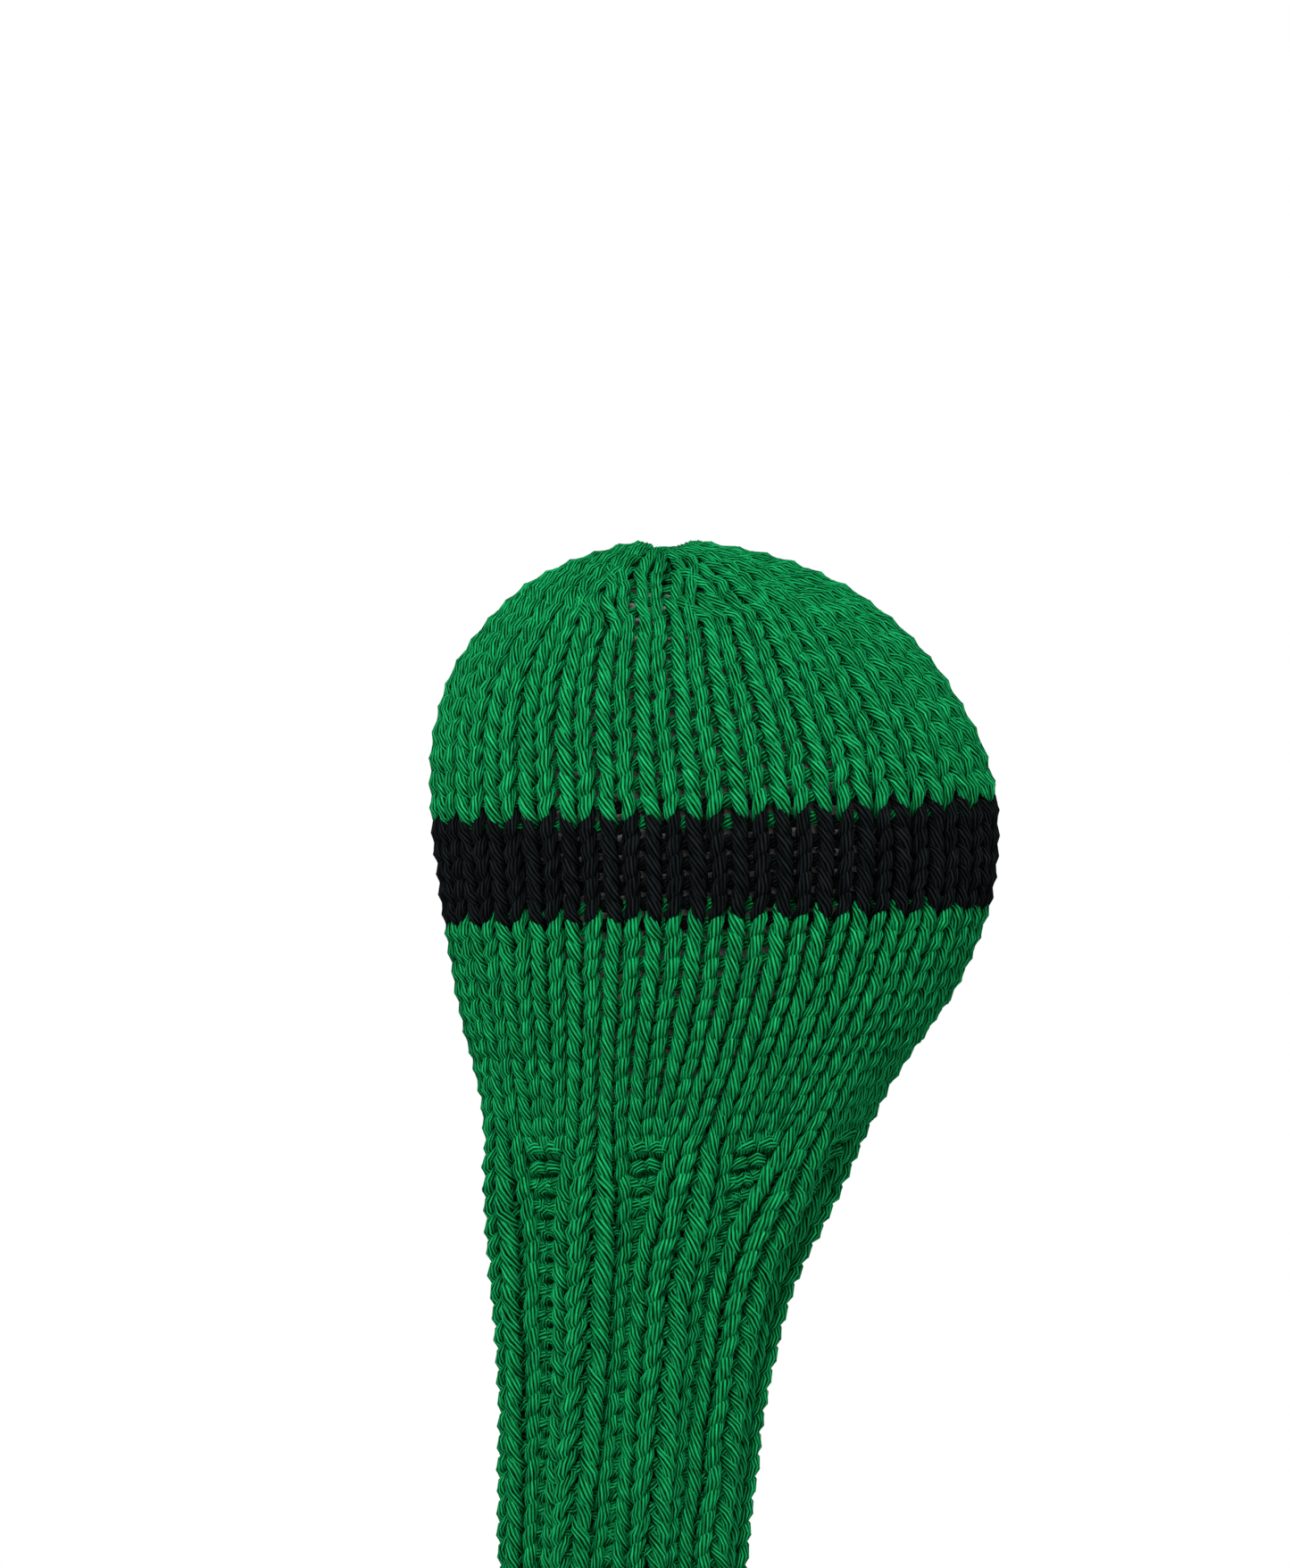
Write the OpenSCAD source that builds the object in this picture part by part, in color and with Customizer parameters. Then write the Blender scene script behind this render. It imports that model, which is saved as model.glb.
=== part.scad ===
// Knitted head cover for a golf driver: a chunky stockinette head with one dark stripe,
// a two-piece lining sewn inside it, and a long ribbed neck that bends at two places.
// The origin is the centre of the neck's mouth. +Z runs up to the crown and +X to the toe
// side, where the head bulges. The section at every height is a closed oval, and the knit
// and the lining are shells of even thickness inside that outline.

/* [Head] */
// Height of the crown above the mouth
cover_height = 356; // [350:1:370]
// Width of the head at the stripe, heel to toe
head_width = 137; // [125:1:145]
// Thickness of the head at the stripe, front to back
head_depth = 82; // [76:1:90]
// Height of the middle of the stripe's lower edge
stripe_low = 265; // [261:0.5:268]
// Height of the stripe, five rounds of knitting
stripe_height = 25; // [22:1:29]
// Rise of the stripe towards the toe, in degrees
stripe_tilt = 2; // [0:0.5:3]
// Width of the hole that the crown is drawn up to
crown_hole = 11; // [10:0.5:13]

/* [Neck] */
// Width of the neck
neck_width = 60; // [57:1:64]
// Thickness of the neck, front to back
neck_depth = 46; // [44:1:50]
// Outer diameter of the round mouth
mouth_diameter = 57; // [55:1:60]
// Height of the cast-on round that ends the neck
edge_height = 8; // [6:1:10]
// Depth of the grooves between the ridges of the rib
rib_depth = 2; // [1:0.5:3]

/* [Fabric] */
// Thickness of the knit
knit = 7; // [6:0.5:8]
// Thickness of the lining
lining = 1.6; // [1.2:0.2:2]
// Thickness of the sewing thread
thread = 1.2; // [0.8:0.1:1.4]

/* [Bends] */
// Height of the sideways bend, just under the head
side_bend_z = 170; // [168:1:174]
// Height of the front-to-back bend, halfway down the neck
fold_z = 85; // [80:1:90]

/* [Hidden] */

green = "#0a8c4a";
black = "#16191b";
pale = "#e6e3da";

ridges = 9;             // ridges round the rib, each two knit and two purl stitches
sides = 48;             // segments round the head's sections
rib_sides = 8 * ridges; // segments round the neck's sections
panel_rows = 8;         // rows of faces up a panel of knitting
stripe_rows = 3;        // rows of faces up the stripe
lining_rows = 6;        // rows of faces up the lining's straight part
gap = 0.1;              // room left between the fabrics that lie on each other
bend_gap = 0.5;         // room between the curved ends that turn past each other
side_bend_x = 4;        // the sideways bend lies in the middle of the neck there
side_bend_r = 42;       // radius of the curved ends at the sideways bend
fold_r = 29;            // radius of the curved ends at the front-to-back bend
crown_x = 11;           // the crown is drawn up over this point
lining_low = 216;       // height of the lining's lower edge
lining_step = 10;       // the lining's straight part ends this far under crown_low
seam_inset = 1;         // room between the lining and the thread inside it
seam_angle = 0.4;       // the lining's halves stop this many degrees short of the seam
seam_first = 8;         // the section where the seam's thread starts
crown_rise = 5;         // height of the crown's first row of faces, above the stripe
bead = 3.6;             // thickness of the rounded edge that the first stitches make

// The head's heel and toe sides, from the neck's axis, at full width.
heel = -0.336 * head_width;
toe = 0.664 * head_width;
half_neck = neck_width / 2;
half_mouth = mouth_diameter / 2;
head_low = 206;         // height where the neck opens out into the head
crown_low = stripe_low + stripe_height + 16; // first section wholly above the stripe

// Sections from the mouth up: height, heel side, toe side, thickness, how sharply the toe
// side is creased (0 is a plain oval), and the depth of the rib's grooves.
sections = [
    [0, -half_mouth, half_mouth, mouth_diameter, 0, rib_depth],
    [26, -half_mouth, half_mouth, mouth_diameter, 0, rib_depth],
    [62, -half_neck + 0.5, half_neck - 0.5, neck_depth + 5, 0, rib_depth],
    [108, -half_neck, half_neck, neck_depth, 0, rib_depth],
    [150, -half_neck, half_neck + 5, neck_depth, 0, rib_depth],
    [176, -half_neck - 2, half_neck + 11, neck_depth + 3, 0, rib_depth],
    [head_low, 0.756 * heel, 0.621 * toe, 0.71 * head_depth, 0.1, rib_depth / 2],
    [head_low + 22, 0.782 * heel, 0.742 * toe, 0.80 * head_depth, 0.15, 0],
    [head_low + 42, 0.873 * heel, 0.896 * toe, 0.91 * head_depth, 0.2, 0],
    [head_low + 60, 0.930 * heel, 0.978 * toe, 0.98 * head_depth, 0.2, 0],
    [head_low + 73, 0.971 * heel, toe, head_depth, 0.2, 0],
    [head_low + 86, heel, toe, head_depth, 0.2, 0],
    [crown_low, heel, 0.967 * toe, 0.98 * head_depth, 0.2, 0],
    [cover_height - 35, 0.934 * heel, 0.874 * toe, 0.87 * head_depth, 0.2, 0],
    [cover_height - 21, 0.739 * heel, 0.747 * toe, 0.70 * head_depth, 0.15, 0],
    [cover_height - 10.5, 0.521 * heel, 0.593 * toe, 0.50 * head_depth, 0.1, 0],
    [cover_height - 4.5, 0.239 * heel, 0.440 * toe, 0.34 * head_depth, 0, 0],
    [cover_height - 1, 0, crown_x + 14, 0.23 * head_depth, 0, 0],
    [cover_height, crown_x - crown_hole / 2, crown_x + crown_hole / 2, crown_hole, 0, 0]
];
last = len(sections) - 1;
first_crown = 12;       // the section at crown_low

// Mean half size of a section, which gives the slope of the wall there.
function half_size(s) = (s[2] - s[1] + s[3]) / 4;
function wall_slope(i) =
    let (a = sections[max(i - 1, 0)], b = sections[min(i + 1, last)],
         run = half_size(b) - half_size(a), rise = b[0] - a[0], long = norm([run, rise]))
    i == last ? [0, 1] : [rise / long, -run / long];

// The sections of a surface that lies the given depth inside the outline.
function inner_sections(depth) = [
    for (i = [0:last])
        let (s = sections[i], n = wall_slope(i), in = i == last ? 0 : depth * n[0])
        [s[0] - depth * max(n[1], 0), s[1] + in, s[2] - in, s[3] - 2 * in, s[4], 0]
];

// One section of a surface at any height.
function column(list, k) = [for (s = list) [s[0], s[k]]];
function section_at(list, z) =
    [z, for (k = [1:5]) lookup(z, column(list, k))];

// The point of a section at an angle round it: 0 is the toe side, 90 the back.
function on_section(s, angle, z) =
    let (c = cos(angle), w = sin(angle), groove = s[5] * (1 - cos(ridges * angle)) / 2)
    [
        (s[1] + s[2]) / 2 + ((s[2] - s[1]) / 2 - groove) * c,
        (s[3] / 2 - groove) * w * pow(abs(w) + 0.0001, s[4] * max(c, 0)),
        z
    ];
function at_height(list, angle, z) = on_section(section_at(list, z), angle, z);

// How far a point lies above an end: a level, the stripe's slanted edge, or one of the two
// curved ends, which keep their distance from the axis of their bend.
function above_end(end, p) =
    let (kind = end[0], value = end[1])
    kind == "level" ? p[2] - value
    : kind == "stripe" ? p[2] - stripe_low - value - (p[0] - (heel + toe) / 2) * tan(stripe_tilt)
    : kind == "side" ? norm([p[0] - side_bend_x, p[2] - side_bend_z]) - value
    : norm([p[1], p[2] - fold_z]) - value;

// The lowest height that an end can have, and the room above it to search.
function search_from(end) =
    end[0] == "level" ? end[1] - 1
    : end[0] == "stripe" ? stripe_low + end[1] - 10
    : end[0] == "side" ? side_bend_z
    : fold_z;
function search_room(end) = end[0] == "side" || end[0] == "fold" ? end[1] + 1 : 20;

// The height at which the surface meets the end, by halving the room 20 times.
function height_of_end(list, angle, end, low, room, turns = 20) =
    turns == 0 ? low
    : let (half = room / 2, over = above_end(end, at_height(list, angle, low + half)) > 0)
    height_of_end(list, angle, end, over ? low : low + half, half, turns - 1);

// Rings of one surface between two ends, evenly spaced in height.
function rings_between(list, low, high, count, angles) =
    let (
        lows = [for (a = angles) height_of_end(list, a, low, search_from(low), search_room(low))],
        highs = [for (a = angles) height_of_end(list, a, high, search_from(high), search_room(high))]
    )
    [
        for (j = [0:count])
            [for (k = [0:len(angles) - 1])
                at_height(list, angles[k], lows[k] + (highs[k] - lows[k]) * j / count)]
    ];
function rings_of_sections(list, from, to, angles) = [
    for (i = [from:to]) [for (a = angles) on_section(list[i], a, list[i][0])]
];

head_circle = [for (k = [0:sides - 1]) 360 * k / sides];
rib_circle = [for (k = [0:rib_sides - 1]) 360 * k / rib_sides];

// A closed shell between an outer and an inner stack of rings. The stacks have the same
// number of rings, and each ring the same number of points. An open ring gets side walls.
module shell(outer, inner, closed = true) {
    rows = len(outer);
    n = len(outer[0]);
    points = [for (r = outer) each r, for (r = inner) each r];
    half = rows * n;
    steps = closed ? n : n - 1;
    polyhedron(
        points = points,
        faces = [
            for (j = [0:rows - 2], k = [0:steps - 1]) let (m = (k + 1) % n)
                each [
                    [j * n + k, (j + 1) * n + m, j * n + m],
                    [j * n + k, (j + 1) * n + k, (j + 1) * n + m],
                    [half + j * n + k, half + j * n + m, half + (j + 1) * n + m],
                    [half + j * n + k, half + (j + 1) * n + m, half + (j + 1) * n + k]
                ],
            for (k = [0:steps - 1]) let (m = (k + 1) % n, t = (rows - 1) * n)
                each [
                    [k, m, half + m],
                    [k, half + m, half + k],
                    [t + k, t + half + m, t + m],
                    [t + k, t + half + k, t + half + m]
                ],
            if (!closed) for (j = [0:rows - 2])
                each [
                    [j * n, half + j * n, half + (j + 1) * n],
                    [j * n, half + (j + 1) * n, (j + 1) * n],
                    [j * n + n - 1, half + (j + 1) * n + n - 1, half + j * n + n - 1],
                    [j * n + n - 1, (j + 1) * n + n - 1, half + (j + 1) * n + n - 1]
                ]
        ]
    );
}

knit_outer = sections;
knit_inner = inner_sections(knit);
lining_outer = inner_sections(knit + gap);
lining_inner = inner_sections(knit + gap + lining);

module knit_between(low, high, count, circle) {
    shell(
        rings_between(knit_outer, low, high, count, circle),
        rings_between(knit_inner, low, high, count, circle)
    );
}

function crown_rings(list) =
    let (low = ["stripe", stripe_height + gap], high = ["stripe", stripe_height + crown_rise])
    concat(
        rings_between(list, low, high, 1, head_circle),
        rings_of_sections(list, first_crown, last, head_circle)
    );

module crown_knit() {
    color(green) shell(crown_rings(knit_outer), crown_rings(knit_inner));
}

module stripe_knit() {
    color(black) knit_between(["stripe", 0], ["stripe", stripe_height], stripe_rows, head_circle);
}

module shoulder_knit() {
    low = ["side", side_bend_r + bend_gap];
    color(green) knit_between(low, ["stripe", -gap], panel_rows, rib_circle);
}

module neck_rib_upper() {
    low = ["fold", fold_r + bend_gap];
    color(green) knit_between(low, ["side", side_bend_r], panel_rows, rib_circle);
}

module neck_rib_lower() {
    low = ["level", edge_height + gap];
    color(green) knit_between(low, ["fold", fold_r], panel_rows, rib_circle);
}

// The cast-on round has a true round bore, which is the mouth.
module cast_on_edge() {
    color(green) rotate_extrude($fn = 96) {
        translate([half_mouth - knit, 0]) square([knit, edge_height]);
        translate([half_mouth - 1, edge_height / 2]) circle(d = bead, $fn = 32);
    }
}

// The yarn end goes twice round the drawn-up loops and down to a knot inside the lining.
module crown_draw_yarn() {
    yarn_r = 1.7;
    turn_r = 3.3;
    turn_step = 2.9;
    tail_r = 1.8;
    tail = 18;
    knot_r = 3.2;
    color(green) translate([crown_x, 0, cover_height]) {
        for (turn = [0:1])
            translate([0, 0, -yarn_r - turn * turn_step])
                rotate_extrude($fn = 48) translate([turn_r, 0]) circle(r = yarn_r, $fn = 24);
        translate([0, 0, -tail]) cylinder(r = tail_r, h = tail - yarn_r, $fn = 32);
        translate([0, 0, -tail]) sphere(r = knot_r, $fn = 32);
    }
}

// Half of the lining, from the given angle to the other side of the seam over the crown.
function lining_rings(list, angles) =
    let (low = ["level", lining_low], high = ["level", crown_low - lining_step])
    concat(
        rings_between(list, low, high, lining_rows, angles),
        rings_of_sections(list, first_crown, last - 1, angles)
    );

module lining_half(from) {
    span = 180 - 2 * seam_angle;
    steps = sides / 2;
    angles = [for (k = [0:steps]) from + seam_angle + span * k / steps];
    color(pale) shell(
        lining_rings(lining_outer, angles), lining_rings(lining_inner, angles), closed = false
    );
}

module lining_front() {
    lining_half(180);
}

module lining_back() {
    lining_half(0);
}

// A tube of round section swept along a list of points.
module tube(path, d, closed = false, n = 8) {
    count = len(path);
    rings = [
        for (i = [0:count - 1])
            let (
                before = path[closed ? (i + count - 1) % count : max(i - 1, 0)],
                after = path[closed ? (i + 1) % count : min(i + 1, count - 1)],
                along = (after - before) / norm(after - before),
                side = cross(along, abs(along[1]) < 0.9 ? [0, 1, 0] : [0, 0, 1]),
                u = side / norm(side),
                v = cross(along, u)
            )
            [for (k = [0:n - 1]) path[i] + d / 2 * (cos(360 * k / n) * u + sin(360 * k / n) * v)]
    ];
    steps = closed ? count : count - 1;
    polyhedron(
        points = [for (r = rings) each r],
        faces = [
            for (i = [0:steps - 1], k = [0:n - 1])
                let (m = (k + 1) % n, j = (i + 1) % count)
                each [
                    [i * n + k, i * n + m, j * n + m],
                    [i * n + k, j * n + m, j * n + k]
                ],
            if (!closed) [for (k = [0:n - 1]) n - 1 - k],
            if (!closed) [for (k = [0:n - 1]) (count - 1) * n + k]
        ]
    );
}

// The seam runs up the lining's toe side and its heel side, as far as the hole round the knot.
module lining_seam_thread() {
    list = inner_sections(knit + gap + lining + seam_inset + thread / 2);
    color(pale)
        for (angle = [0, 180])
            tube([for (i = [seam_first:last - 1]) on_section(list[i], angle, list[i][0])], thread);
}

module lining_edge_stitch() {
    list = inner_sections(knit + gap + lining + seam_inset / 2);
    z = lining_low - thread / 2 - gap;
    color(pale) tube(
        [for (k = [0:sides - 1]) at_height(list, 360 * k / sides, z)], thread, closed = true
    );
}

crown_knit();
crown_draw_yarn();
stripe_knit();
shoulder_knit();
neck_rib_upper();
neck_rib_lower();
cast_on_edge();
lining_front();
lining_back();
lining_seam_thread();
lining_edge_stitch();
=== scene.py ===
"""Looks of the knitted driver head cover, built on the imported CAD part.

Every stitch is real yarn. One long yarn for each panel is knitted round and round the
CAD's outline: a 2 by 2 rib for the neck, plain knitting for the head, and two rounds of
decreases before the crown is drawn together. The yarn is swept as nine twisted strands.
"""
import math

import bpy
import numpy as np
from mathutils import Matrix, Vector


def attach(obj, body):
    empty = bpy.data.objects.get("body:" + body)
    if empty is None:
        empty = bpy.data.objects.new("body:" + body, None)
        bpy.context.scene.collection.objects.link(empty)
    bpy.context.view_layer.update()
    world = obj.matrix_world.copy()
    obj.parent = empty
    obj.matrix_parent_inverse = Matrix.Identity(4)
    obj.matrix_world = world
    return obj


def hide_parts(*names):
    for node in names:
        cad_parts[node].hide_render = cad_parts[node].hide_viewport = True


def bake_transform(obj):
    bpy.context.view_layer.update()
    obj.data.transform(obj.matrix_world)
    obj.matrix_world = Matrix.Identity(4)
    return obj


MM = 0.001
TURN = 2 * math.pi

# The outline from the mouth up, as in the CAD part, in millimetres: height, heel side, toe
# side, thickness, and how sharply the toe side is creased.
SECTIONS = np.array([
    [0, -28.5, 28.5, 57, 0],
    [26, -28.5, 28.5, 57, 0],
    [62, -29.5, 29.5, 51, 0],
    [108, -30, 30, 46, 0],
    [150, -30, 35, 46, 0],
    [176, -32, 41, 49, 0],
    [206, -34.8, 56.5, 58.2, 0.1],
    [228, -36, 67.5, 65.6, 0.15],
    [248, -40.2, 81.5, 74.6, 0.2],
    [266, -42.8, 89, 80.4, 0.2],
    [279, -44.7, 91, 82, 0.2],
    [292, -46, 91, 82, 0.2],
    [306, -46, 88, 80.4, 0.2],
    [321, -43, 79.5, 71.3, 0.2],
    [335, -34, 68, 57.4, 0.15],
    [345.5, -24, 54, 41, 0.1],
    [351.5, -11, 40, 27.9, 0],
    [355, 0, 25, 18.9, 0],
    [356, 5.5, 16.5, 11, 0],
])
HEAD_MID = 22.5         # middle of the head, from the neck's axis
CROWN_X = 11            # the crown is drawn together over this point
SMOOTHING = 5           # the outline is smoothed over this length along the wall
COLUMNS = 1440          # columns of the outline's own grid
FURROW_X = 10.8         # drawing the crown together leaves a small furrow across it, here
FURROW_WIDTH = 4.5
FURROW_DEPTH = 2.4
FURROW_START = 340      # it starts at this height
FURROW_FADE = 14        # and has its full depth this much higher

# The knitting.
STITCHES = 36           # stitches in a full round
RIDGE = 4               # stitches from one ridge of the rib to the next
RIDGES = STITCHES // RIDGE   # ridges in a round, and decreases in a round of the crown
FRONT_STRETCH = 0.5     # the front is stretched a little more than the back, in stitches
PHASE = 0.3             # where the first stitch of a round starts, from the heel side
ROUND_START = 24.3      # the rounds start here, at the back
CREST = 2.3             # a ridge of the rib has its crest here, and one every RIDGE stitches
EDGE_ROW = 0            # the first round of the neck
SECOND_ROW = 1          # it has its own height too, as the edge draws the first one in
FOLD_ROW = 24           # the first round of the neck's upper half
HEAD_ROW = 39           # the first round of plain knitting
STRIPE_ROW = 51         # the first black round
CROWN_ROW = 56          # the first green round above the stripe
DECREASE_ROWS = (67, 69)   # each of these rounds has one stitch fewer for each ridge
DECREASE_LEAN = 0.4     # how far apart two stitches are that are knitted together, in stitches
TOP_ROW = 72            # the last loops, drawn together, are in the round before this one
ROUND_HEIGHTS = {EDGE_ROW: 3.8, SECOND_ROW: 5.8, HEAD_ROW: 204, STRIPE_ROW: 261, CROWN_ROW: 285}
TOP_ROOM = 1.5          # the rounds end this far short of the end of the wall
STRIPE_SLOPE = 0.0157   # how far the rounds rise towards the toe, beside their own spiral
FINE = 10               # grid points for one stitch
PER_ROUND = 4           # steps in a round in the table of the rounds

# The rib. Its shares are of the full depth or spread.
RIB_AT_MOUTH = 0.1      # share at the mouth
RIB_START = 35          # the rib is full from this height on
RIB_END = 240           # its depth has faded out at this height
RIB_FADE = 55           # and starts to fade this much lower
SPREAD_END = 222        # its spread has faded out at this height
SPREAD_FADE = 36        # and starts to fade this much lower
RIB_SPREAD = 0.92       # how much wider the ridges are than the troughs
RIB_CREST = 0.08        # the same for the crests, beside the ridges' flanks
RIB_DEPTH = 7.4         # depth of the troughs, in millimetres
RIB_LIFT = 1.1          # how far the crests stand out beyond the rest
RIB_FLANK = 0.6         # below 1 the ridges' sides start nearer to their crests

# The yarn, in millimetres.
YARN = 3.6              # its thickness
# The rib is looser than the head, and most at its edge, so its yarn is this much thicker.
LOOSENESS = {0: 1.25, 3: 1.10, HEAD_ROW - 1: 1.10, HEAD_ROW: 1.0}
# Where the stitches have less room across, they are flatter and their yarn is thinner.
DEPTH_BY_ROOM = {7: 0.78, 9.5: 1.0}
YARN_BY_ROOM = {2: 0.72, 4: 0.8, 7.3: 0.86, 9.7: 1.0, 10.6: 1.06}
# How uneven the knitting is: across in stitches, up in rounds, out in millimetres, and the yarn.
UNEVEN_ACROSS = 0.05
UNEVEN_UP = 0.07
UNEVEN_OUT = 0.25
UNEVEN_YARN = 0.06
NOISE_ROUNDS = 90       # rounds that the noise behind this covers
STRANDS = 9             # how many strands it has
STRAND_DEPTH = 0.3      # how deep the grooves between strands are, as a share of the radius
TWIST = -20             # length of one turn of the strands, which turn to the left
SQUASH = 0.86           # how flat the yarn is pressed, through the fabric
MID = 2.4               # the middle of the fabric lies this deep inside the outline
STITCH_SIZE = (9.7, 5.3)   # how wide and how high one stitch is
AROUND = 36             # vertices round the yarn
ALONG = 16              # rings in one stitch
CURVE_STEPS = 24        # steps of the curve from one point of the loop below to the next
LINK = 0.2              # this much of a stitch at its ends turns towards its neighbours' faces
LINK_TOP = 0.3          # but only up to this height, in rounds

# One knitted loop seen from its right side, from the middle of the link before it to its top:
# across in stitches, up in rounds, out of the fabric in millimetres, and the yarn's thickness
# there. A purl stitch is the same loop turned to the back.
LEFT_HALF = np.array([
    [0.00, 0.00, -3.0, 1.00],
    [0.16, -0.06, -2.8, 0.96],
    [0.285, 0.00, -1.3, 0.86],
    [0.315, 0.22, 0.6, 0.88],
    [0.30, 0.50, 1.4, 0.95],
    [0.265, 0.84, 1.8, 0.98],
    [0.225, 1.18, 1.4, 0.95],
    [0.20, 1.46, 0.2, 0.88],
    [0.25, 1.74, -1.8, 0.90],
    [0.50, 1.86, -2.6, 1.00],
])
# The twist of the yarn makes the right half a row of beads: thinner at its ends.
RIGHT_HALF = np.array([
    [0.00, 0.00, -3.0, 1.00],
    [0.16, -0.06, -2.9, 0.92],
    [0.29, 0.00, -1.8, 0.72],
    [0.33, 0.22, 0.3, 0.72],
    [0.31, 0.50, 1.5, 0.85],
    [0.265, 0.84, 2.0, 0.93],
    [0.215, 1.18, 1.4, 0.87],
    [0.185, 1.46, 0.0, 0.76],
    [0.25, 1.74, -1.9, 0.85],
    [0.50, 1.86, -2.6, 1.00],
])

# How far the ridges of the rib wander sideways, in stitches, at some heights. The front ones
# come first, from the heel side; the back ones stay straight.
WANDER = {0: [-0.2, 0.0, 0.1, 0.0], 113: [-0.4, 0.0, -0.1, -0.5], 147: [-0.3, 0.4, 0.0, -0.4],
          167: [-0.2, 0.6, -0.1, -0.5], 187: [-0.1, 0.5, -0.2, -0.5], 207: [0, 0.25, -0.3, -0.3],
          230: [0, 0, 0, 0]}

# The small pieces, in millimetres.
EDGE_HEIGHT = 2.9       # the first stitches make a twisted edge whose middle is this high
EDGE_DEPTH = 2.7        # and this deep inside the outline
EDGE_TWIST = 1.2        # its two strands wind round each other at this distance
EDGE_YARN = 1.6         # their radius
DRAW_YARN = 1.6         # radius of the yarn that draws the crown together
DRAW_TOP = 352.6        # height of its upper turn
DRAW_RADIUS = 2         # radius of most of its turns
DRAW_POINTS = 400       # points along it
DRAW_SMOOTHING = 4      # over how many of them its corners are rounded
# Its turns, how far each place is from the middle of the hole, and how deep under DRAW_TOP.
DRAW_TURNS = np.array([[0, 3.6, 1], [1, 2.8, 0], [1.9, 1.2, 0.2], [2.3, 0.8, 3], [2.6, 0.2, 6],
                       [2.6, 0, 12], [3, 1.6, 15], [4, 2, 14.5], [5, 1.8, 12.2], [5.5, 1.8, 11.4]])
LINING_LOW = 216        # height of the lining's lower edge
LINING_HIGH = 354       # height of its upper edge, round the knot
LINING_DEPTH = 9.4      # how deep inside the outline its outer face lies
LINING_THICKNESS = 1.6
LINING_PILE = 0.3       # height of the fleece's tufts
LINING_STEP = 3         # columns of the outline's grid from one of its points to the next
SEAM_ROOM = 3           # its halves stop this many columns short of the seam
THREAD = 0.6            # radius of the sewing thread
STITCH_REACH = 1.3      # how far the thread winds from the middle of its stitches
SEAM_ENDS = (2, 3)      # the seam starts and ends this far inside the lining's edges
SEAM_STITCH = 4         # length of one of its stitches
SEAM_POINTS = 8         # points for a millimetre of it

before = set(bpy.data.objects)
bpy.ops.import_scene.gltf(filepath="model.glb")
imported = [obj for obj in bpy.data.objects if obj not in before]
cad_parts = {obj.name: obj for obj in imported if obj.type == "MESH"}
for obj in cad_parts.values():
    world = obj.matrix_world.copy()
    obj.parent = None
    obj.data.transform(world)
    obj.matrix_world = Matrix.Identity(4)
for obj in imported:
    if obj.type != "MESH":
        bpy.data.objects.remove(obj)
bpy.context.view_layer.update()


# ---------------------------------------------------------------- the fabric's surface
def smooth_columns(table, spread):
    """Each column smoothed with a bell of that spread, its ends kept where they are."""
    reach = int(3 * spread)
    bell = np.exp(-0.5 * (np.arange(-reach, reach + 1) / spread) ** 2)
    bell /= bell.sum()
    columns = []
    for column in table.T:
        before = 2 * column[0] - column[reach:0:-1]
        after = 2 * column[-1] - column[-2:-reach - 2:-1]
        columns.append(np.convolve(np.concatenate([before, column, after]), bell, "valid"))
    return np.stack(columns, 1)


def outline_by_length():
    """The outline at every millimetre along its wall, from the mouth to the crown."""
    half = (SECTIONS[:, 2] - SECTIONS[:, 1] + SECTIONS[:, 3]) / 4
    along = np.hypot(np.diff(SECTIONS[:, 0]), np.diff(half))
    along = np.concatenate([[0], np.cumsum(along)])
    steps = np.arange(0, along[-1] + 0.5)
    table = np.stack([np.interp(steps, along, column) for column in SECTIONS.T], 1)
    return smooth_columns(table, SMOOTHING)


OUTLINE = outline_by_length()
WALL_LENGTH = len(OUTLINE) - 1


def ease(value):
    """A smooth step from 0 to 1."""
    value = np.clip(value, 0, 1)
    return value * value * (3 - 2 * value)


def rib_share(height, end, fade):
    """Share of the rib at a height: little at the mouth, all in the neck, nothing in the head."""
    start = RIB_AT_MOUTH + (1 - RIB_AT_MOUTH) * ease(height / RIB_START)
    return start * ease((end - height) / fade)


def rib_spread(height, turn):
    """How far a ridge spreads over the troughs, in stitches, at a place across it."""
    wave = RIB_SPREAD * np.sin(turn) + RIB_CREST * np.sin(2 * turn)
    return rib_share(height, SPREAD_END, SPREAD_FADE) * wave * RIDGE / TURN


def wander(stitch, height):
    """How far the fabric is pushed sideways there, in stitches."""
    heights = sorted(WANDER)
    front = len(WANDER[0])
    shifts = [np.interp(height, heights, [WANDER[z][k] for z in heights]) for k in range(front)]
    values = np.array(shifts + [0] * (RIDGES - front))
    ridge = (stitch - CREST) / RIDGE
    k = np.floor(ridge).astype(int)
    return values[k % RIDGES] + (values[(k + 1) % RIDGES] - values[k % RIDGES]) * (ridge - k)


def outline_grid():
    """The outline itself: a row for each millimetre of wall, from the heel side by the front."""
    angle = math.pi + TURN * np.arange(COLUMNS + 1) / COLUMNS
    c, s = np.cos(angle), np.sin(angle)
    points = np.zeros((len(OUTLINE), COLUMNS + 1, 3))
    for row, (height, heel, toe, depth, crease) in enumerate(OUTLINE):
        points[row, :, 0] = (heel + toe) / 2 + (toe - heel) / 2 * c
        points[row, :, 1] = depth / 2 * s * (np.abs(s) + 1e-4) ** (crease * np.maximum(c, 0))
        furrow = np.exp(-((points[row, :, 0] - FURROW_X) / FURROW_WIDTH) ** 2)
        share = ease((height - FURROW_START) / FURROW_FADE)
        points[row, :, 2] = height - FURROW_DEPTH * furrow * share
    return points


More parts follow.
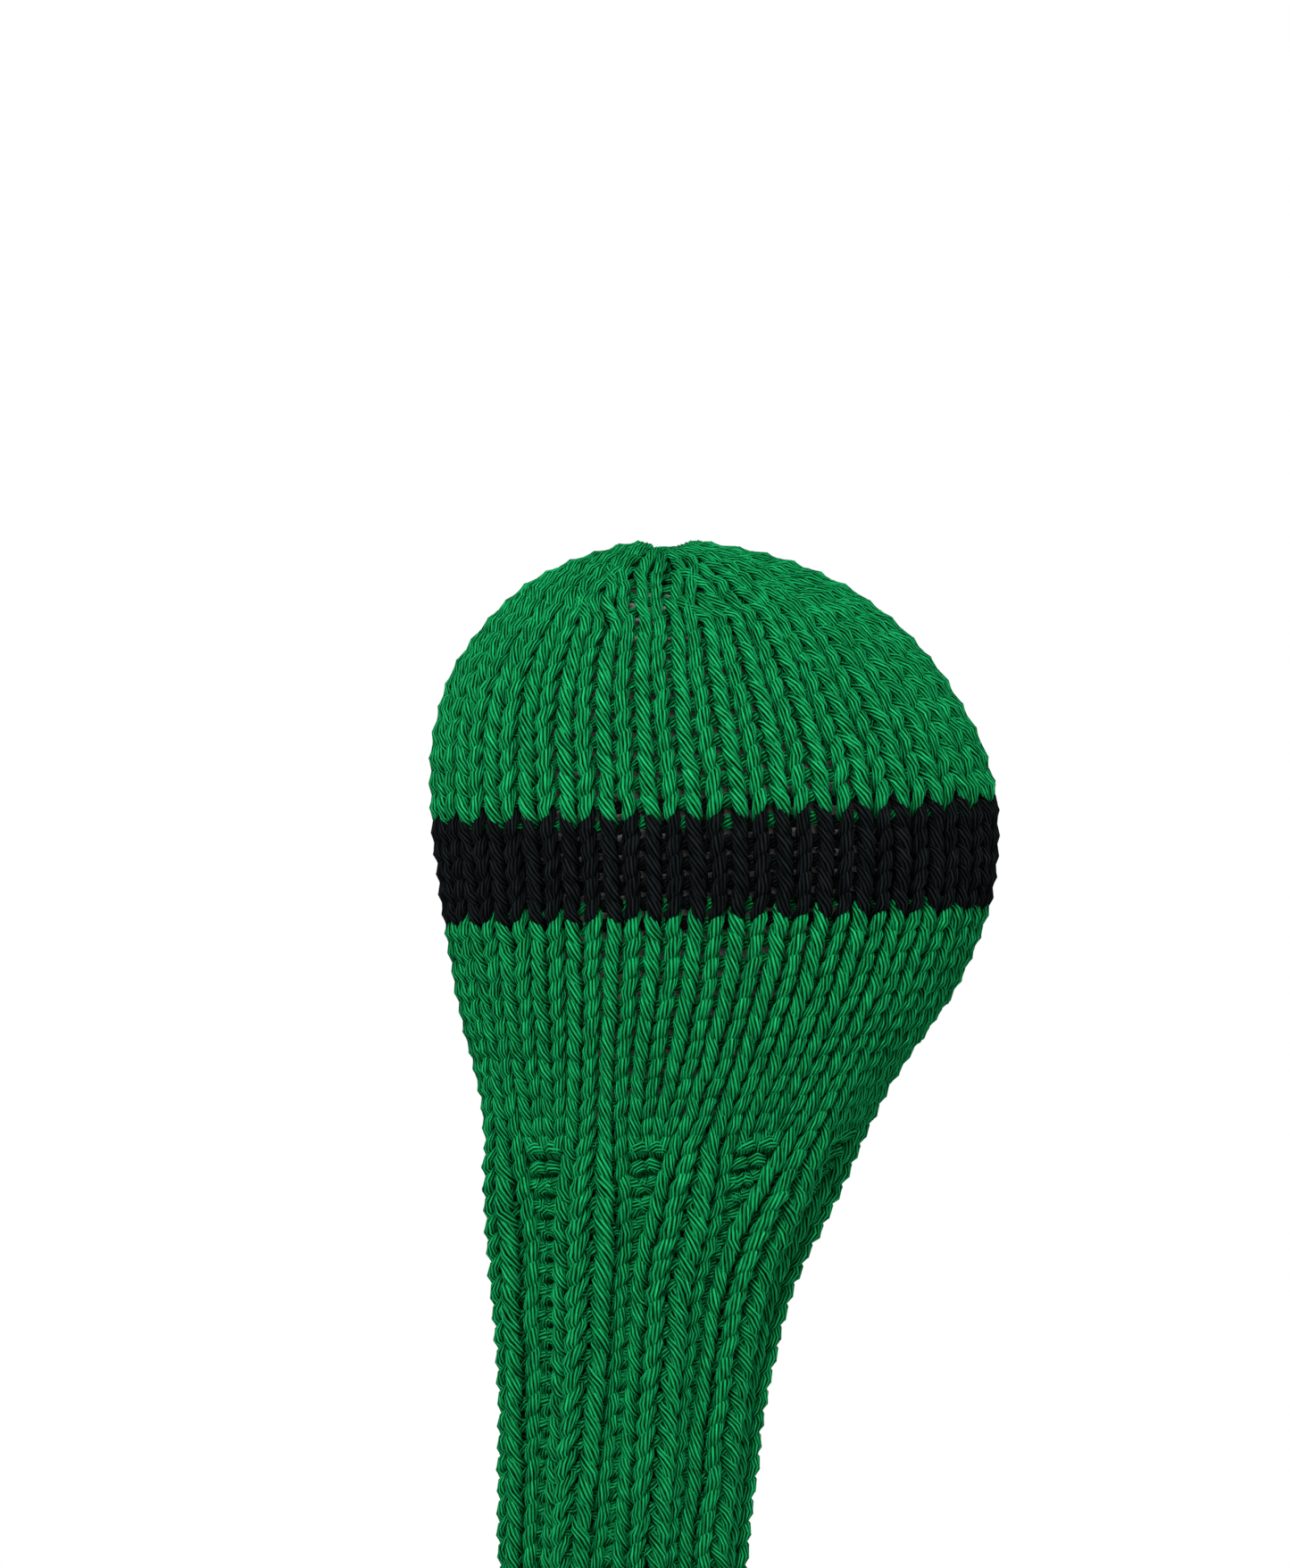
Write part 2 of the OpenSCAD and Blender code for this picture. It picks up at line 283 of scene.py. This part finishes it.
def surface_grid():
    """Points of the fabric's middle, a row for each millimetre of wall, and its normals."""
    count = STITCHES * FINE
    stitch = np.arange(count + 1) / FINE
    turn = TURN * (stitch - CREST) / RIDGE
    stretch = FRONT_STRETCH * np.cos(TURN * stitch / STITCHES)
    points = np.zeros((len(OUTLINE), count + 1, 3))
    for row, (x, y, z) in enumerate(OUTLINE_GRID.transpose(0, 2, 1)):
        height = OUTLINE[row, 0]
        run = np.concatenate([[0], np.cumsum(np.hypot(np.diff(x), np.diff(y)))])
        moved = stitch - stretch + rib_spread(height, turn) + wander(stitch, height)
        place = run[-1] * (moved % STITCHES) / STITCHES
        points[row, :, 0] = np.interp(place, run, x)
        points[row, :, 1] = np.interp(place, run, y)
        points[row, :, 2] = np.interp(place, run, z)
    points[:, -1] = points[:, 0]
    normals = grid_normals(points)
    trough = (np.sin(turn / 2) ** 2) ** RIB_FLANK
    share = rib_share(OUTLINE[:, 0], RIB_END, RIB_FADE)[:, None]
    depth = MID + (RIB_DEPTH * trough - RIB_LIFT) * share
    points = points - normals * depth[:, :, None]
    return points, grid_normals(points)


def grid_normals(points):
    """Outward normals of a grid that closes on itself across its second index."""
    along = np.gradient(points, axis=0)
    ring = points[:, :-1]
    across = np.roll(ring, -1, axis=1) - np.roll(ring, 1, axis=1)
    across = np.concatenate([across, across[:, :1]], axis=1)
    normals = np.cross(across, along)
    return normals / np.maximum(np.linalg.norm(normals, axis=2, keepdims=True), 1e-9)


OUTLINE_GRID = outline_grid()
OUTLINE_NORMALS = grid_normals(OUTLINE_GRID)
GRID, GRID_NORMALS = surface_grid()


def on_grid(grid, stitch, wall):
    """Values of a grid at any stitch and any length along the wall."""
    across = (stitch % STITCHES) * FINE
    wall = np.clip(wall, 0, len(grid) - 1 - 1e-6)
    i = wall.astype(int)
    j = np.minimum(across.astype(int), STITCHES * FINE - 1)
    a, b = (wall - i)[..., None], (across - j)[..., None]
    low = grid[i, j] * (1 - b) + grid[i, j + 1] * b
    high = grid[i + 1, j] * (1 - b) + grid[i + 1, j + 1] * b
    return low * (1 - a) + high * a


def wall_at_height(height):
    """Length along the wall at a height."""
    return np.interp(height, OUTLINE[:, 0], np.arange(len(OUTLINE)))


def round_table():
    """Where each quarter of a round lies along the wall, at each column of the grid."""
    rounds = np.arange(0, (TOP_ROW + 2) * PER_ROUND) / PER_ROUND
    anchors = sorted(ROUND_HEIGHTS)
    walls = [wall_at_height(ROUND_HEIGHTS[row]) for row in anchors] + [WALL_LENGTH - TOP_ROOM]
    steps = np.linalg.norm(np.diff(GRID, axis=0), axis=2)
    runs = np.concatenate([np.zeros((1, GRID.shape[1])), np.cumsum(steps, axis=0)])
    index = np.arange(len(GRID))
    table = np.zeros((len(rounds), GRID.shape[1], 1))
    for column, run in enumerate(runs.T):
        lengths = np.interp(rounds, anchors + [TOP_ROW], np.interp(walls, index, run))
        table[:, column, 0] = np.interp(lengths, run, index)
    return table


ROUND_TABLE = round_table()


def wall_of_round(v, stitch):
    """Length along the wall of a round, with the slope that carries the stripe."""
    wall = on_grid(ROUND_TABLE, stitch, v * PER_ROUND)[..., 0]
    share = np.interp(v, [HEAD_ROW, STRIPE_ROW, CROWN_ROW, DECREASE_ROWS[0]], [0, 1, 1, 0])
    x = on_grid(GRID, stitch, wall)[..., 0]
    return wall + STRIPE_SLOPE * share * (x - HEAD_MID)


# ---------------------------------------------------------------- the stitches
def stitches_in(row):
    """How many stitches a round has."""
    return STITCHES - RIDGES * sum(row >= r for r in DECREASE_ROWS)


def stitch_place(row, k):
    """Where the middle of stitch k of a round lies, in full-round stitches."""
    n = stitches_in(row)
    return (k + 0.5) * STITCHES / n + PHASE


def stitch_above(row, k):
    """The stitch knitted through stitch k, and how far k leans to share it."""
    now, after = stitches_in(row) // RIDGES, stitches_in(row + 1) // RIDGES
    sector, i = divmod(k, now)
    if now == after:
        return k, 0.0
    lean = (0.5 - i) * DECREASE_LEAN if i < 2 else 0.0
    return sector * after + max(i - 1, 0), -lean


def is_purl(row, k):
    """The rib is two knit and two purl stitches; a ridge's crest is between its knit ones."""
    return row < HEAD_ROW and 1 < (stitch_place(row, k) - CREST) % RIDGE < 3


def whole_loop():
    """The loop as evenly spaced points, from one link to the next."""
    mirrored = RIGHT_HALF[-2::-1] * [-1, 1, 1, 1] + [1, 0, 0, 0]
    corners = np.concatenate([LEFT_HALF, mirrored])
    period = corners[:-1]
    n = len(period)
    fine = []
    for i in range(n):
        p0, p1, p2, p3 = (period[(i + k) % n] + [(i + k) // n, 0, 0, 0] for k in (-1, 0, 1, 2))
        u = np.linspace(0, 1, CURVE_STEPS, endpoint=False)[:, None]
        fine.append(0.5 * (2 * p1 + (p2 - p0) * u + (2 * p0 - 5 * p1 + 4 * p2 - p3) * u ** 2
                           + (3 * p1 - p0 - 3 * p2 + p3) * u ** 3))
    fine = np.concatenate(fine + [corners[-1:]])
    size = fine[:, :3] * [*STITCH_SIZE, 1]
    run = np.concatenate([[0], np.cumsum(np.linalg.norm(np.diff(size, axis=0), axis=1))])
    places = np.linspace(0, run[-1], ALONG, endpoint=False)
    return np.stack([np.interp(places, run, column) for column in fine.T], 1)


LOOP = whole_loop()


def look_up(table, value):
    """The value of a table of steps, in between two of them."""
    return np.interp(value, list(table), list(table.values()))


def smooth_noise(seed, v, stitch, scale):
    """A soft random value over the knitting, mostly from -1 to 1, that closes round a round."""
    rng = np.random.default_rng(seed)
    across = int(STITCHES / scale)
    grid = rng.normal(0, 0.6, (int(NOISE_ROUNDS / scale) + 3, across))
    a = (stitch % STITCHES) / STITCHES * across
    b = np.clip((v + 2) / scale, 0, grid.shape[0] - 1.001)
    i, j = b.astype(int), a.astype(int) % across
    fa, fb = a - a.astype(int), b - i
    fa, fb = fa * fa * (3 - 2 * fa), fb * fb * (3 - 2 * fb)
    low = grid[i, j] * (1 - fa) + grid[i, (j + 1) % across] * fa
    high = grid[i + 1, j] * (1 - fa) + grid[i + 1, (j + 1) % across] * fa
    return low * (1 - fb) + high * fb


def face_of(row, k):
    """1 for a knit stitch and -1 for a purl one."""
    return -1.0 if is_purl(row, k % stitches_in(row)) else 1.0


def one_stitch(row, k):
    """A stitch along its yarn: across in stitches, up in rounds, out of the fabric, and radius."""
    across, up, depth, thick = LOOP.T
    wide, wide_above = STITCHES / stitches_in(row), STITCHES / stitches_in(row + 1)
    above, lean = stitch_above(row, k)
    above_that, _ = stitch_above(row + 1, above)
    middle = stitch_place(row, k)
    next_middle = stitch_place(row + 1, above) + lean
    far_middle = stitch_place(row + 2, above_that) + lean
    line = np.interp(up, [0, 1, 2], [middle, next_middle, far_middle])
    width = np.interp(up, [0, 1], [wide, wide_above])
    lap = (middle - ROUND_START) % STITCHES
    spiral = (lap + (across - 0.5) * wide) / STITCHES
    face, before, after = (face_of(row, k + step) for step in (0, -1, 1))
    near_start = np.clip(1 - across / LINK, 0, 1) * (up < LINK_TOP)
    near_end = np.clip(1 - (1 - across) / LINK, 0, 1) * (up < LINK_TOP)
    turned = face + near_start * (before - face) / 2 + near_end * (after - face) / 2
    radius = YARN / 2 * thick * look_up(LOOSENESS, row)
    return line + (across - 0.5) * width, row + up + spiral, depth * turned, radius


def knit(first_row, end_row):
    """The middle of the yarn of some rounds, the normals there, and its radius."""
    parts = []
    for row in range(first_row, end_row):
        n = stitches_in(row)
        start = round((ROUND_START - PHASE) / (STITCHES / n))
        parts += [one_stitch(row, (start + step) % n) for step in range(n)]
    stitch, v, out, radius = (np.concatenate(part) for part in zip(*parts))
    s = stitch + UNEVEN_ACROSS * smooth_noise(1, v, stitch, 0.8)
    w = v + UNEVEN_UP * smooth_noise(2, v, stitch, 0.8)
    out = out + UNEVEN_OUT * smooth_noise(3, v, stitch, 0.9)
    wall = wall_of_round(w, s)
    points, normals = on_grid(GRID, s, wall), on_grid(GRID_NORMALS, s, wall)
    near = on_grid(GRID, s + 0.5, wall) - on_grid(GRID, s - 0.5, wall)
    room = np.linalg.norm(near, axis=1)
    out = out * look_up(DEPTH_BY_ROOM, room)
    radius = radius * look_up(YARN_BY_ROOM, room)
    radius = radius * (1 + UNEVEN_YARN * smooth_noise(4, v, stitch, 0.5))
    return points + normals * out[:, None], normals, radius


# ---------------------------------------------------------------- the yarn's surface
def unit(v):
    """Vectors of length 1 with the same directions."""
    return v / np.maximum(np.linalg.norm(v, axis=-1, keepdims=True), 1e-9)


def sweep(points, normals, radius, strands=STRANDS, around=AROUND, twist=TWIST):
    """Rings of vertices of a yarn of twisted strands, and how far along it each ring is."""
    tangent = unit(np.gradient(points, axis=0))
    first = unit(normals - np.sum(normals * tangent, axis=1, keepdims=True) * tangent)
    second = np.cross(tangent, first)
    # How much this frame turns about the yarn from point to point, beside the yarn's own bends.
    axis = np.cross(tangent[:-1], tangent[1:])
    cosine = np.sum(tangent[:-1] * tangent[1:], axis=1, keepdims=True)
    carried = first[:-1] * cosine + np.cross(axis, first[:-1]) \
        + axis * np.sum(axis * first[:-1], axis=1, keepdims=True) / (1 + cosine)
    turned = np.arctan2(np.sum(carried * second[1:], axis=1), np.sum(carried * first[1:], axis=1))
    free = np.concatenate([[0], np.cumsum(turned)])
    along = np.concatenate([[0], np.cumsum(np.linalg.norm(np.diff(points, axis=0), axis=1))])
    spin = free + TURN * along / twist
    theta = TURN * np.arange(around) / around
    lobe = np.abs(np.sin(strands * theta / 2))
    profile = 1 + STRAND_DEPTH * (np.sqrt(lobe) - 1)
    angle = theta[None, :] + spin[:, None]
    offset = (np.cos(angle)[..., None] * first[:, None] + np.sin(angle)[..., None] * second[:, None])
    offset = offset * (profile * np.reshape(radius, (-1, 1)))[..., None]
    through = np.sum(offset * normals[:, None], axis=2, keepdims=True)
    offset = offset - (1 - SQUASH) * through * normals[:, None]
    return points[:, None] + offset, along


def mesh_object(name, vertices, corners, sizes, material):
    """An object with a smooth mesh. The faces take the corners in turn, as many as sizes says."""
    mesh = bpy.data.meshes.new(name)
    mesh.vertices.add(len(vertices))
    mesh.vertices.foreach_set("co", (vertices * MM).astype(np.float32).ravel())
    mesh.loops.add(len(corners))
    mesh.loops.foreach_set("vertex_index", corners.astype(np.int32))
    mesh.polygons.add(len(sizes))
    starts = np.concatenate([[0], np.cumsum(sizes)[:-1]])
    mesh.polygons.foreach_set("loop_start", starts.astype(np.int32))
    mesh.polygons.foreach_set("loop_total", sizes.astype(np.int32))
    mesh.polygons.foreach_set("use_smooth", np.ones(len(sizes), bool))
    mesh.update()
    mesh.materials.append(material)
    piece = bpy.data.objects.new(name, mesh)
    bpy.context.scene.collection.objects.link(piece)
    return piece


def quads_of(count, around):
    """Corners of the quads between rings of points, and the ring and column of each quad."""
    i, j = np.meshgrid(np.arange(count - 1), np.arange(around), indexing="ij")
    right = (j + 1) % around
    low, high = i * around, (i + 1) * around
    return np.stack([low + j, low + right, high + right, high + j], -1), i, j


def yarn_piece(name, path, material, **form):
    """Yarn swept along a path, with its own coordinates as its UV map."""
    rings, along = sweep(*path, **form)
    count, around = rings.shape[:2]
    quads, i, j = quads_of(count, around)
    caps = [np.arange(around)[::-1], (count - 1) * around + np.arange(around)]
    corners = np.concatenate([quads.ravel(), *caps])
    sizes = np.concatenate([np.full(quads.size // 4, 4), [around, around]])
    piece = mesh_object(name, rings.reshape(-1, 3), corners, sizes, material)
    uv = np.zeros((len(corners), 2), np.float32)
    uv[:quads.size, 0] = np.stack([j, j + 1, j + 1, j], -1).reshape(-1) / around
    length = np.stack([along[i], along[i], along[i + 1], along[i + 1]], -1)
    uv[:quads.size, 1] = length.reshape(-1) * MM
    piece.data.uv_layers.new(name="Yarn").data.foreach_set("uv", uv.ravel())
    piece.data.validate()
    return piece


# ---------------------------------------------------------------- the small pieces
def inside(wall, columns, depth):
    """Points some depth inside the outline, at rows and columns of its grid, and normals."""
    normals = OUTLINE_NORMALS[wall, columns]
    return OUTLINE_GRID[wall, columns] - normals * depth, normals


def coil(points, normals, side, turns, radius, start=0.0):
    """A path wound round a line of points: outwards along the normals and along side."""
    phase = TURN * (start + turns * np.linspace(0, 1, len(points)))[:, None]
    return points + radius * (np.cos(phase) * normals + np.sin(phase) * side)


def cast_on_path(start):
    """One of the two strands of the first stitches, round the mouth."""
    points, normals = inside(round(wall_at_height(EDGE_HEIGHT)), np.arange(COLUMNS + 1), EDGE_DEPTH)
    up = np.array([0, 0, 1])
    return coil(points, normals, up, STITCHES, EDGE_TWIST, start), normals, EDGE_YARN


def draw_yarn_path():
    """Twice round in the crown's hole, which it closes, then down to a wound knot."""
    turn, radius, depth = DRAW_TURNS.T
    steps = np.hypot(TURN * DRAW_RADIUS * np.diff(turn), np.diff(depth))
    run = np.concatenate([[0], np.cumsum(steps)])
    steps = np.linspace(0, run[-1], DRAW_POINTS)
    turn, radius, depth = (np.interp(steps, run, value) for value in (turn, radius, depth))
    line = np.stack([CROWN_X + radius * np.cos(TURN * turn), radius * np.sin(TURN * turn),
                     DRAW_TOP - depth], 1)
    normals = np.stack([np.cos(TURN * turn), np.sin(TURN * turn), 0 * turn], 1)
    return smooth_columns(line, DRAW_SMOOTHING), normals, DRAW_YARN


def seam_path(column):
    """Whip stitches up one side of the lining, over the edges of its two halves."""
    wall = np.arange(round(wall_at_height(LINING_LOW)) + SEAM_ENDS[0],
                     round(wall_at_height(LINING_HIGH)) - SEAM_ENDS[1])
    fine = np.linspace(0, len(wall) - 1, SEAM_POINTS * len(wall))
    middle, normals = inside(wall, column, LINING_DEPTH + LINING_THICKNESS)
    middle, normals = (np.stack([np.interp(fine, np.arange(len(wall)), value) for value in part.T], 1)
                       for part in (middle, normals))
    side = unit(np.cross(normals, np.gradient(middle, axis=0)))
    return coil(middle, normals, side, len(wall) / SEAM_STITCH, STITCH_REACH), normals, THREAD


def edge_stitch_path():
    """Stitches round the lining's lower edge, which hold it to the knitting."""
    points, normals = inside(round(wall_at_height(LINING_LOW)), np.arange(COLUMNS + 1),
                             LINING_DEPTH + LINING_THICKNESS / 2)
    up = np.array([0, 0, 1])
    return coil(points, normals, up, 2 * STITCHES, STITCH_REACH), normals, THREAD


def lining_half(name, first, last, material):
    """Half of the lining: a closed fleece shell between two columns of the outline's grid."""
    wall = np.arange(round(wall_at_height(LINING_LOW)), round(wall_at_height(LINING_HIGH)) + 1)
    columns = np.arange(first, last + 1, LINING_STEP)
    rng = np.random.default_rng(first)
    faces = []
    for depth in (LINING_DEPTH, LINING_DEPTH + LINING_THICKNESS):
        tufts = LINING_PILE * rng.normal(0, 0.6, (len(wall), len(columns), 1))
        points, normals = inside(wall[:, None], columns[None, :], depth)
        faces.append(points + normals * np.clip(tufts, -LINING_PILE, LINING_PILE))
    # One closed ring a row: along the outer face, then back along the inner one.
    rings = np.concatenate([faces[0], faces[1][:, ::-1]], axis=1)
    count, around = rings.shape[:2]
    quads, _, _ = quads_of(count, around)
    j = np.arange(len(columns) - 1)
    low = np.stack([around - 1 - j, around - 2 - j, j + 1, j], -1)
    high = low[:, ::-1] + (count - 1) * around
    corners = np.concatenate([quads.ravel(), low.ravel(), high.ravel()])
    return mesh_object(name, rings.reshape(-1, 3), corners, np.full(len(corners) // 4, 4), material)


# ---------------------------------------------------------------- materials
def add_node(tree, kind, values=(), **settings):
    """A shader node with its settings, and the values of its numbered inputs."""
    node = tree.nodes.new(kind)
    for key, value in settings.items():
        setattr(node, key, value)
    for key, value in dict(values).items():
        node.inputs[key].default_value = value
    return node


def math_node(tree, operation, a, b=0.0):
    """The result of a sum in the shader. Each side is a number or another node's output."""
    node = add_node(tree, "ShaderNodeMath", operation=operation)
    for socket, value in zip(node.inputs, (a, b)):
        if isinstance(value, (int, float)):
            socket.default_value = value
        else:
            tree.links.new(value, socket)
    return node.outputs[0]


def noise_along(tree, round_yarn, along, scales, strength, settings):
    """Noise about zero, with one scale round the yarn and another along it."""
    place = add_node(tree, "ShaderNodeCombineXYZ")
    for socket, value, scale in zip(place.inputs, (round_yarn, along), scales):
        tree.links.new(math_node(tree, "MULTIPLY", value, scale), socket)
    noise = add_node(tree, "ShaderNodeTexNoise", {"Scale": 1.0, **settings})
    tree.links.new(place.outputs[0], noise.inputs["Vector"])
    return math_node(tree, "MULTIPLY", math_node(tree, "SUBTRACT", noise.outputs[0], 0.5), strength)


def yarn_height(tree):
    """Height of the yarn's strands with their fibres, from 0 in the grooves to about 1."""
    place = add_node(tree, "ShaderNodeUVMap", uv_map="Yarn")
    split = add_node(tree, "ShaderNodeSeparateXYZ")
    tree.links.new(place.outputs[0], split.inputs[0])
    # The strands wander a little from side to side.
    slow = add_node(tree, "ShaderNodeTexNoise", {"Scale": 160.0, "Detail": 1.0})
    tree.links.new(place.outputs[0], slow.inputs["Vector"])
    shift = math_node(tree, "MULTIPLY", math_node(tree, "SUBTRACT", slow.outputs[0], 0.5), 0.07)
    round_yarn, along = math_node(tree, "ADD", split.outputs[0], shift), split.outputs[1]
    # Height across each strand, 0 in the groove and 1 on its back.
    wave = math_node(tree, "SINE", math_node(tree, "MULTIPLY", round_yarn, STRANDS * math.pi))
    back = math_node(tree, "POWER", math_node(tree, "ABSOLUTE", wave), 0.7)
    # Fibres that are fine across the yarn and long along it.
    fibres = noise_along(tree, round_yarn, along, (40, 500), 0.7, {"Detail": 2.0, "Roughness": 0.6})
    # Some strands are brighter than others for a while.
    tufts = noise_along(tree, round_yarn, along, (9, 230), 0.8, {"Detail": 1.0})
    return math_node(tree, "ADD", math_node(tree, "ADD", back, fibres), tufts)


def gap_shade(tree):
    """Painted shade: 1 on the fabric and less between the stitches, where fuzz keeps the light out,
    put into the yarn's colour by an ambient occlusion node.
    """
    gaps = add_node(tree, "ShaderNodeAmbientOcclusion", {"Distance": 4 * MM}, samples=4)
    shade = add_node(tree, "ShaderNodeMapRange", {"From Min": 0.15, "From Max": 0.75, "To Min": 0.76})
    tree.links.new(gaps.outputs["AO"], shade.inputs["Value"])
    return shade.outputs[0]


def yarn_material(name, groove_shade, strand, light, sheen):
    """Spun yarn: fine fibres that run along the strands, painted shade in the grooves between these,
    and painted highlights on the strands' backs.
    """
    material = bpy.data.materials.new(name)
    material.use_nodes = True
    tree = material.node_tree
    link = tree.links.new
    height = yarn_height(tree)
    # The colour ramp: painted shade in the grooves, the yarn's own colour on the strands, and a
    # painted highlight on their backs.
    colours = add_node(tree, "ShaderNodeValToRGB")
    ramp = colours.color_ramp
    ramp.elements[0].position, ramp.elements[0].color = 0.30, (*groove_shade, 1)
    ramp.elements[1].position, ramp.elements[1].color = 1.0, (*light, 1)
    middle = ramp.elements.new(0.5)
    middle.color = (*strand, 1)
    # Painted shade between the stitches darkens the colour further.
    shaded = math_node(tree, "MULTIPLY", math_node(tree, "MULTIPLY", height, 0.75), gap_shade(tree))
    link(shaded, colours.inputs[0])
    bump = add_node(tree, "ShaderNodeBump", {"Strength": 0.7, "Distance": 0.35 * MM})
    link(height, bump.inputs["Height"])
    shader = tree.nodes["Principled BSDF"]
    link(colours.outputs[0], shader.inputs["Base Color"])
    link(bump.outputs[0], shader.inputs["Normal"])
    shader.inputs["Roughness"].default_value = 0.8
    shader.inputs["Specular IOR Level"].default_value = 0.05
    shader.inputs["Sheen Weight"].default_value = sheen
    shader.inputs["Sheen Roughness"].default_value = 0.4
    shader.inputs["Sheen Tint"].default_value = (*light, 1)
    return material


def plain_material(name, colour, roughness):
    """One colour all over."""
    material = bpy.data.materials.new(name)
    material.use_nodes = True
    shader = material.node_tree.nodes["Principled BSDF"]
    shader.inputs["Base Color"].default_value = (*colour, 1)
    shader.inputs["Roughness"].default_value = roughness
    return material


def fleece_material():
    """Pale fleece: soft, with small curls in its pile."""
    material = plain_material("lining_fleece", (0.52, 0.51, 0.47), 0.95)
    tree = material.node_tree
    place = add_node(tree, "ShaderNodeTexCoord")
    curls = add_node(tree, "ShaderNodeTexNoise", {"Scale": 900.0, "Detail": 3.0})
    tree.links.new(place.outputs["Object"], curls.inputs["Vector"])
    bump = add_node(tree, "ShaderNodeBump", {"Strength": 0.6, "Distance": 0.6 * MM})
    tree.links.new(curls.outputs[0], bump.inputs["Height"])
    shader = tree.nodes["Principled BSDF"]
    tree.links.new(bump.outputs[0], shader.inputs["Normal"])
    shader.inputs["Sheen Weight"].default_value = 0.3
    return material


# Each yarn's colours: painted groove shade, its own strand colour, and a painted highlight that also
# tints the sheen, then the sheen's weight.
green = yarn_material("green_yarn", (0.0, 0.002, 0.0002), (0.0012, 0.13, 0.03),
                      (0.018, 0.86, 0.26), 0.03)
black = yarn_material("black_yarn", (0.0001, 0.0002, 0.0003), (0.0008, 0.0012, 0.0015),
                      (0.022, 0.031, 0.033), 0.01)

panels = [
    ("neck_rib_lower_yarn", EDGE_ROW, FOLD_ROW, green, "neck_rib_lower"),
    ("neck_rib_upper_yarn", FOLD_ROW, HEAD_ROW, green, "neck_rib_upper"),
    ("shoulder_yarn", HEAD_ROW, STRIPE_ROW, green, "shoulder_knit"),
    ("stripe_yarn", STRIPE_ROW, CROWN_ROW, black, "stripe_knit"),
    ("crown_yarn", CROWN_ROW, TOP_ROW, green, "crown_knit"),
]
for name, first_row, end_row, material, node in panels:
    piece = yarn_piece(name, knit(first_row, end_row), material)
    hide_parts(node)
    if node == "neck_rib_upper":
        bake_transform(piece)
    elif node == "neck_rib_lower":
        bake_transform(piece)
    else:
        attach(piece, "head")

fleece = fleece_material()
cotton = plain_material("sewing_thread", (0.72, 0.69, 0.62), 0.8)
fine_thread = {"strands": 3, "around": 12, "twist": -4}
small_pieces = [
    (yarn_piece("cast_on_strand_1", cast_on_path(0), green), "cast_on_edge", "green_yarn"),
    (yarn_piece("cast_on_strand_2", cast_on_path(0.5), green), "cast_on_edge", "green_yarn"),
    (yarn_piece("crown_draw_yarn_end", draw_yarn_path(), green), "crown_draw_yarn", "green_yarn"),
    (lining_half("lining_front_fleece", SEAM_ROOM, COLUMNS // 2 - SEAM_ROOM, fleece),
     "lining_front", "lining_fleece"),
    (lining_half("lining_back_fleece", COLUMNS // 2 + SEAM_ROOM, COLUMNS - SEAM_ROOM, fleece),
     "lining_back", "lining_fleece"),
    (yarn_piece("lining_seam_heel", seam_path(0), cotton, **fine_thread),
     "lining_seam_thread", "sewing_thread"),
    (yarn_piece("lining_seam_toe", seam_path(COLUMNS // 2), cotton, **fine_thread),
     "lining_seam_thread", "sewing_thread"),
    (yarn_piece("lining_edge_stitches", edge_stitch_path(), cotton, **fine_thread),
     "lining_edge_stitch", "sewing_thread"),
]
for piece, node, slot in small_pieces:
    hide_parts(node)
    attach(piece, "neck_lower" if node == "cast_on_edge" else "head")

# ---------------------------------------------------------------- the stage
VIEW_MID = (0.0057, 0, 0.2968)   # middle of the view, in metres
VIEW_DISTANCE = 1.6     # the camera's distance from it
VIEW_HEIGHT = 0.3778    # height of the view there
FLOOR_HEIGHT = -0.006
ROOM_LIGHT = 0.05       # how bright the room's light is, beside how bright the room looks


def make_floor():
    """A round white table, just under the mouth and wholly below the picture."""
    bpy.ops.mesh.primitive_circle_add(vertices=128, radius=0.9, fill_type="NGON",
                                      location=(0, 0, FLOOR_HEIGHT))
    floor = bpy.context.object
    floor.name = "floor"
    floor.data.materials.append(plain_material("white_table", (0.7, 0.7, 0.7), 0.6))


def area_light(name, location, size, power):
    """A square light that looks at the middle of the view. Its power is in watts."""
    light = bpy.data.lights.new(name, "AREA")
    light.size = size
    light.energy = power
    lamp = bpy.data.objects.new(name, light)
    bpy.context.scene.collection.objects.link(lamp)
    lamp.location = location
    lamp.rotation_euler = (Vector(VIEW_MID) - lamp.location).to_track_quat("-Z", "Y").to_euler()


def make_world():
    """A white room. It lights the cover less than it shows, as a backdrop far behind would."""
    world = bpy.data.worlds.new("studio")
    bpy.context.scene.world = world
    world.use_nodes = True
    tree = world.node_tree
    seen = add_node(tree, "ShaderNodeLightPath")
    strength = add_node(tree, "ShaderNodeMapRange", {"To Min": ROOM_LIGHT, "To Max": 1.0})
    tree.links.new(seen.outputs["Is Camera Ray"], strength.inputs["Value"])
    background = tree.nodes["Background"]
    background.inputs["Color"].default_value = (1, 1, 1, 1)
    tree.links.new(strength.outputs[0], background.inputs["Strength"])


def make_camera():
    """A camera straight in front of the cover, level with the middle of the view."""
    data = bpy.data.cameras.new("camera")
    camera = bpy.data.objects.new("camera", data)
    bpy.context.scene.collection.objects.link(camera)
    camera.location = (VIEW_MID[0], -VIEW_DISTANCE, VIEW_MID[2])
    camera.rotation_euler = (math.pi / 2, 0, 0)
    data.sensor_width = 36
    data.lens = data.sensor_width * VIEW_DISTANCE / VIEW_HEIGHT
    bpy.context.scene.camera = camera


make_floor()
make_world()
area_light("key", (-0.05, -0.62, 0.72), 0.2, 5)
area_light("fill", (0.2, -1.5, 0.5), 0.5, 3.4)
area_light("rim_left", (-1.1, 0.3, 0.5), 0.6, 3)
area_light("rim_right", (1.2, 0.3, 0.5), 0.6, 3)
make_camera()
bpy.context.scene.view_settings.view_transform = "Standard"
